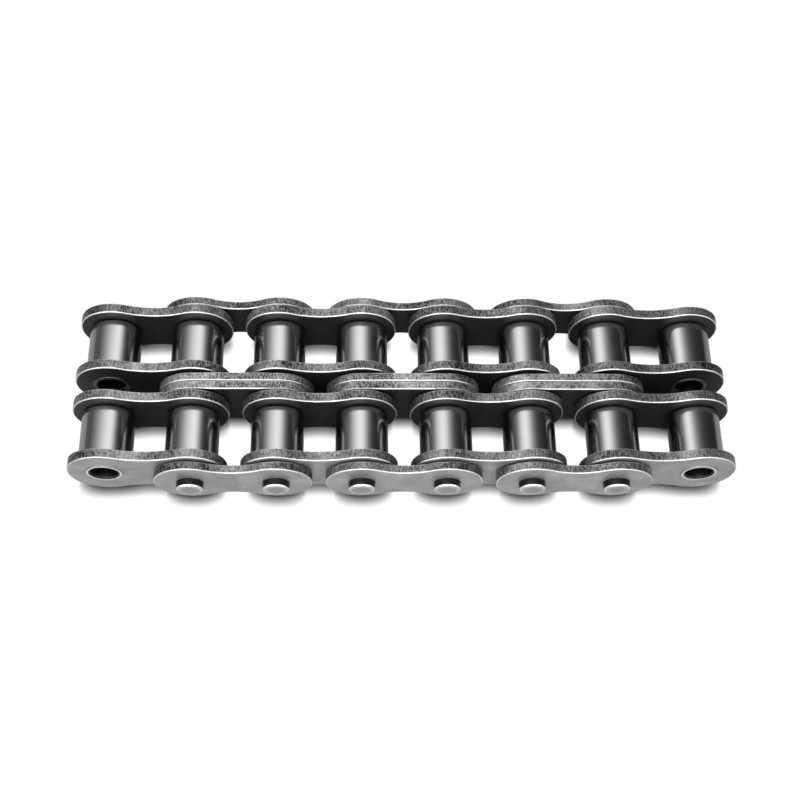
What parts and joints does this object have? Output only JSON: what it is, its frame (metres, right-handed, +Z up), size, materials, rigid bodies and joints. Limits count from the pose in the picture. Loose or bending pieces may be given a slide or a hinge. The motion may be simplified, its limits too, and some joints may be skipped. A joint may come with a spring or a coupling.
{
  "type": "duplex roller chain",
  "caption": "Duplex roller chain length with waisted link plates, riveted pins through both strands, free-turning rollers and an open bush at each end for a connecting pin.",
  "frame": {"origin": "middle of the straight chain, on the plane of the pin axes and midway between the strands", "axes": "+X along the chain, +Y along the pins from the front strand to the rear strand, +Z up out of the plane of the pins"},
  "size_m": [0.0996, 0.031, 0.012],
  "materials": {
    "link_plate": "satin stamped steel, sheared edges",
    "outer_plate": "satin stamped steel, sheared edges",
    "centre_plate": "satin stamped steel, sheared edges",
    "bush": "ground steel",
    "roller": "smooth drawn steel, semi-polished",
    "pin": "ground steel, spun-over ends"
  },
  "bodies": {
    "pin_link_1": {"pin_link_1_front_plate": "outer_plate", "pin_link_1_centre_plate_front": "centre_plate", "pin_link_1_centre_plate_rear": "centre_plate", "pin_link_1_rear_plate": "outer_plate", "pin_2": "pin", "pin_3": "pin"},
    "pin_link_2": {"pin_link_2_front_plate": "outer_plate", "pin_link_2_centre_plate_front": "centre_plate", "pin_link_2_centre_plate_rear": "centre_plate", "pin_link_2_rear_plate": "outer_plate", "pin_4": "pin", "pin_5": "pin"},
    "pin_link_3": {"pin_link_3_front_plate": "outer_plate", "pin_link_3_centre_plate_front": "centre_plate", "pin_link_3_centre_plate_rear": "centre_plate", "pin_link_3_rear_plate": "outer_plate", "pin_6": "pin", "pin_7": "pin"},
    "front_link_1": {"front_link_1_front_plate": "link_plate", "front_link_1_rear_plate": "link_plate", "front_link_1_bushes": "bush"},
    "front_link_2": {"front_link_2_front_plate": "link_plate", "front_link_2_rear_plate": "link_plate", "front_link_2_bushes": "bush"},
    "front_link_3": {"front_link_3_front_plate": "link_plate", "front_link_3_rear_plate": "link_plate", "front_link_3_bushes": "bush"},
    "front_link_4": {"front_link_4_front_plate": "link_plate", "front_link_4_rear_plate": "link_plate", "front_link_4_bushes": "bush"},
    "front_roller_1": {"front_roller_1": "roller"},
    "front_roller_2": {"front_roller_2": "roller"},
    "front_roller_3": {"front_roller_3": "roller"},
    "front_roller_4": {"front_roller_4": "roller"},
    "front_roller_5": {"front_roller_5": "roller"},
    "front_roller_6": {"front_roller_6": "roller"},
    "front_roller_7": {"front_roller_7": "roller"},
    "front_roller_8": {"front_roller_8": "roller"},
    "rear_link_1": {"rear_link_1_front_plate": "link_plate", "rear_link_1_rear_plate": "link_plate", "rear_link_1_bushes": "bush"},
    "rear_link_2": {"rear_link_2_front_plate": "link_plate", "rear_link_2_rear_plate": "link_plate", "rear_link_2_bushes": "bush"},
    "rear_link_3": {"rear_link_3_front_plate": "link_plate", "rear_link_3_rear_plate": "link_plate", "rear_link_3_bushes": "bush"},
    "rear_link_4": {"rear_link_4_front_plate": "link_plate", "rear_link_4_rear_plate": "link_plate", "rear_link_4_bushes": "bush"},
    "rear_roller_1": {"rear_roller_1": "roller"},
    "rear_roller_2": {"rear_roller_2": "roller"},
    "rear_roller_3": {"rear_roller_3": "roller"},
    "rear_roller_4": {"rear_roller_4": "roller"},
    "rear_roller_5": {"rear_roller_5": "roller"},
    "rear_roller_6": {"rear_roller_6": "roller"},
    "rear_roller_7": {"rear_roller_7": "roller"},
    "rear_roller_8": {"rear_roller_8": "roller"}
  },
  "joints": [
    {"name": "front_link_2_hinge", "type": "hinge", "parent": "pin_link_2", "child": "front_link_2", "pos_m": [-0.00635, 0, 0], "axis": [0, 1, 0], "range_deg": [-90, 90]},
    {"name": "rear_link_2_hinge", "type": "hinge", "parent": "pin_link_2", "child": "rear_link_2", "pos_m": [-0.00635, 0, 0], "axis": [0, 1, 0], "range_deg": [-90, 90]},
    {"name": "pin_link_1_hinge", "type": "hinge", "parent": "front_link_2", "child": "pin_link_1", "pos_m": [-0.01905, 0, 0], "axis": [0, -1, 0], "range_deg": [-90, 90]},
    {"name": "front_link_1_hinge", "type": "hinge", "parent": "pin_link_1", "child": "front_link_1", "pos_m": [-0.03175, 0, 0], "axis": [0, 1, 0], "range_deg": [-90, 90]},
    {"name": "rear_link_1_hinge", "type": "hinge", "parent": "pin_link_1", "child": "rear_link_1", "pos_m": [-0.03175, 0, 0], "axis": [0, 1, 0], "range_deg": [-90, 90]},
    {"name": "front_link_3_hinge", "type": "hinge", "parent": "pin_link_2", "child": "front_link_3", "pos_m": [0.00635, 0, 0], "axis": [0, -1, 0], "range_deg": [-90, 90]},
    {"name": "rear_link_3_hinge", "type": "hinge", "parent": "pin_link_2", "child": "rear_link_3", "pos_m": [0.00635, 0, 0], "axis": [0, -1, 0], "range_deg": [-90, 90]},
    {"name": "pin_link_3_hinge", "type": "hinge", "parent": "front_link_3", "child": "pin_link_3", "pos_m": [0.01905, 0, 0], "axis": [0, 1, 0], "range_deg": [-90, 90]},
    {"name": "front_link_4_hinge", "type": "hinge", "parent": "pin_link_3", "child": "front_link_4", "pos_m": [0.03175, 0, 0], "axis": [0, -1, 0], "range_deg": [-90, 90]},
    {"name": "rear_link_4_hinge", "type": "hinge", "parent": "pin_link_3", "child": "rear_link_4", "pos_m": [0.03175, 0, 0], "axis": [0, -1, 0], "range_deg": [-90, 90]},
    {"name": "front_roller_1_spin", "type": "hinge", "parent": "front_link_1", "child": "front_roller_1", "pos_m": [-0.04445, -0.00719, 0], "axis": [0, 1, 0], "continuous": true},
    {"name": "front_roller_2_spin", "type": "hinge", "parent": "front_link_1", "child": "front_roller_2", "pos_m": [-0.03175, -0.00719, 0], "axis": [0, 1, 0], "continuous": true},
    {"name": "front_roller_3_spin", "type": "hinge", "parent": "front_link_2", "child": "front_roller_3", "pos_m": [-0.01905, -0.00719, 0], "axis": [0, 1, 0], "continuous": true},
    {"name": "front_roller_4_spin", "type": "hinge", "parent": "front_link_2", "child": "front_roller_4", "pos_m": [-0.00635, -0.00719, 0], "axis": [0, 1, 0], "continuous": true},
    {"name": "front_roller_5_spin", "type": "hinge", "parent": "front_link_3", "child": "front_roller_5", "pos_m": [0.00635, -0.00719, 0], "axis": [0, 1, 0], "continuous": true},
    {"name": "front_roller_6_spin", "type": "hinge", "parent": "front_link_3", "child": "front_roller_6", "pos_m": [0.01905, -0.00719, 0], "axis": [0, 1, 0], "continuous": true},
    {"name": "front_roller_7_spin", "type": "hinge", "parent": "front_link_4", "child": "front_roller_7", "pos_m": [0.03175, -0.00719, 0], "axis": [0, 1, 0], "continuous": true},
    {"name": "front_roller_8_spin", "type": "hinge", "parent": "front_link_4", "child": "front_roller_8", "pos_m": [0.04445, -0.00719, 0], "axis": [0, 1, 0], "continuous": true},
    {"name": "rear_roller_1_spin", "type": "hinge", "parent": "rear_link_1", "child": "rear_roller_1", "pos_m": [-0.04445, 0.00719, 0], "axis": [0, 1, 0], "continuous": true},
    {"name": "rear_roller_2_spin", "type": "hinge", "parent": "rear_link_1", "child": "rear_roller_2", "pos_m": [-0.03175, 0.00719, 0], "axis": [0, 1, 0], "continuous": true},
    {"name": "rear_roller_3_spin", "type": "hinge", "parent": "rear_link_2", "child": "rear_roller_3", "pos_m": [-0.01905, 0.00719, 0], "axis": [0, 1, 0], "continuous": true},
    {"name": "rear_roller_4_spin", "type": "hinge", "parent": "rear_link_2", "child": "rear_roller_4", "pos_m": [-0.00635, 0.00719, 0], "axis": [0, 1, 0], "continuous": true},
    {"name": "rear_roller_5_spin", "type": "hinge", "parent": "rear_link_3", "child": "rear_roller_5", "pos_m": [0.00635, 0.00719, 0], "axis": [0, 1, 0], "continuous": true},
    {"name": "rear_roller_6_spin", "type": "hinge", "parent": "rear_link_3", "child": "rear_roller_6", "pos_m": [0.01905, 0.00719, 0], "axis": [0, 1, 0], "continuous": true},
    {"name": "rear_roller_7_spin", "type": "hinge", "parent": "rear_link_4", "child": "rear_roller_7", "pos_m": [0.03175, 0.00719, 0], "axis": [0, 1, 0], "continuous": true},
    {"name": "rear_roller_8_spin", "type": "hinge", "parent": "rear_link_4", "child": "rear_roller_8", "pos_m": [0.04445, 0.00719, 0], "axis": [0, 1, 0], "continuous": true}
  ],
  "couplings": [
    {"joint": "rear_link_2_hinge", "follows": "front_link_2_hinge", "ratio": 1},
    {"joint": "rear_link_3_hinge", "follows": "front_link_3_hinge", "ratio": 1}
  ]
}
